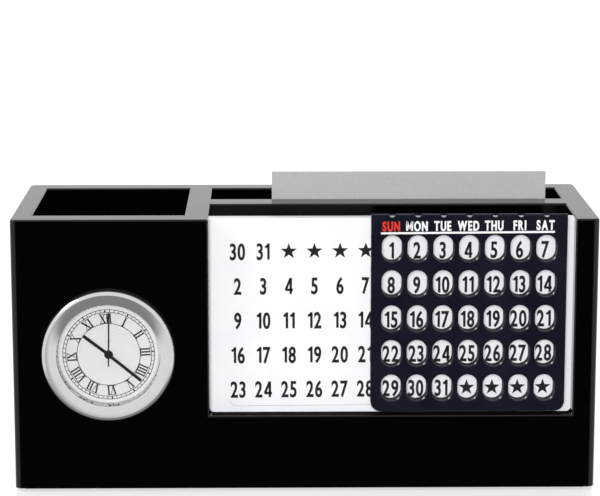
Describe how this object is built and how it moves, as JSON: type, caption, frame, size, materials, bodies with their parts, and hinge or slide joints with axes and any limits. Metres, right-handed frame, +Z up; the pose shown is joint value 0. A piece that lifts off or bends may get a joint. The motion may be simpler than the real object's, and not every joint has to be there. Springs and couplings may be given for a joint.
{
  "type": "desk calendar organizer",
  "caption": "Gloss black desk organizer with pen compartment, memo slot, card slot, push-in clock and a perpetual calendar with a sliding window frame.",
  "frame": {"origin": "middle of the underside, on the surface that the organizer stands on", "axes": "+X along the width, to the right as seen from the front; the front faces -Y; +Z up"},
  "size_m": [0.185, 0.071, 0.0969],
  "materials": {
    "black_lacquer": "high gloss black lacquer on fibreboard",
    "base_felt": "pressed felt",
    "plate_white": "glossy, printed",
    "slider_navy": "satin gloss",
    "bezel_chrome": "polished",
    "lens_glass": "clear",
    "dial_white": "matt white with black print",
    "hand_black": "satin black",
    "wheel_brass": "turned and cut",
    "movement_plastic": "moulded",
    "ring_rubber": "matt",
    "cell_steel": "drawn",
    "card_silver": "satin silver-grey board"
  },
  "bodies": {
    "case": {"front_board": "black_lacquer", "back_board": "black_lacquer", "left_side": "black_lacquer", "right_side": "black_lacquer", "floor_board": "black_lacquer", "partition": "black_lacquer", "divider": "black_lacquer", "card_shelf": "black_lacquer", "felt_base": "base_felt", "calendar_plate": "plate_white"},
    "date_slider": {"date_slider": "slider_navy"},
    "clock_insert": {"clock_bezel": "bezel_chrome", "clock_lens": "lens_glass", "dial_ring": "bezel_chrome", "clock_housing": "movement_plastic", "friction_ring": "ring_rubber", "clock_cover": "movement_plastic", "clock_dial": "dial_white", "movement_plate": "movement_plastic", "drive_unit": "movement_plastic", "battery": "cell_steel", "battery_contact": "wheel_brass"},
    "hour": {"hour_wheel": "wheel_brass", "hour_hand": "hand_black"},
    "minute": {"cannon_pinion": "wheel_brass", "minute_hand": "hand_black"},
    "second": {"second_arbor": "wheel_brass", "second_hand": "hand_black"},
    "minute_wheel": {"minute_wheel": "wheel_brass"},
    "setting_stem": {"setting_stem": "wheel_brass", "setting_knob": "movement_plastic"},
    "visiting_card": {"visiting_card": "card_silver"}
  },
  "joints": [
    {"name": "date_slide", "type": "slide", "parent": "case", "child": "date_slider", "axis": [1, 0, 0], "range_m": [-0.0509, 0.0023]},
    {"name": "clock_pull", "type": "slide", "parent": "case", "child": "clock_insert", "axis": [0, -1, 0], "range_m": [0, 0.016]},
    {"name": "card_lift", "type": "slide", "parent": "case", "child": "visiting_card", "axis": [0, 0, 1], "range_m": [0, 0.05]},
    {"name": "minute_turn", "type": "hinge", "parent": "clock_insert", "child": "minute", "pos_m": [-0.0621, -0.034, 0.0447], "axis": [0, 1, 0], "continuous": true},
    {"name": "hour_turn", "type": "hinge", "parent": "clock_insert", "child": "hour", "pos_m": [-0.0621, -0.034, 0.0447], "axis": [0, 1, 0], "continuous": true},
    {"name": "second_turn", "type": "hinge", "parent": "clock_insert", "child": "second", "pos_m": [-0.0621, -0.034, 0.0447], "axis": [0, 1, 0], "continuous": true},
    {"name": "minute_wheel_turn", "type": "hinge", "parent": "clock_insert", "child": "minute_wheel", "pos_m": [-0.0561, -0.034, 0.0447], "axis": [0, 1, 0], "continuous": true},
    {"name": "stem_turn", "type": "hinge", "parent": "clock_insert", "child": "setting_stem", "pos_m": [-0.0501, -0.034, 0.0447], "axis": [0, 1, 0], "continuous": true}
  ],
  "couplings": [
    {"joint": "hour_turn", "follows": "minute_turn", "ratio": 0.083333},
    {"joint": "second_turn", "follows": "minute_turn", "ratio": 60},
    {"joint": "minute_wheel_turn", "follows": "minute_turn", "ratio": -0.33333},
    {"joint": "stem_turn", "follows": "minute_turn", "ratio": 1}
  ]
}
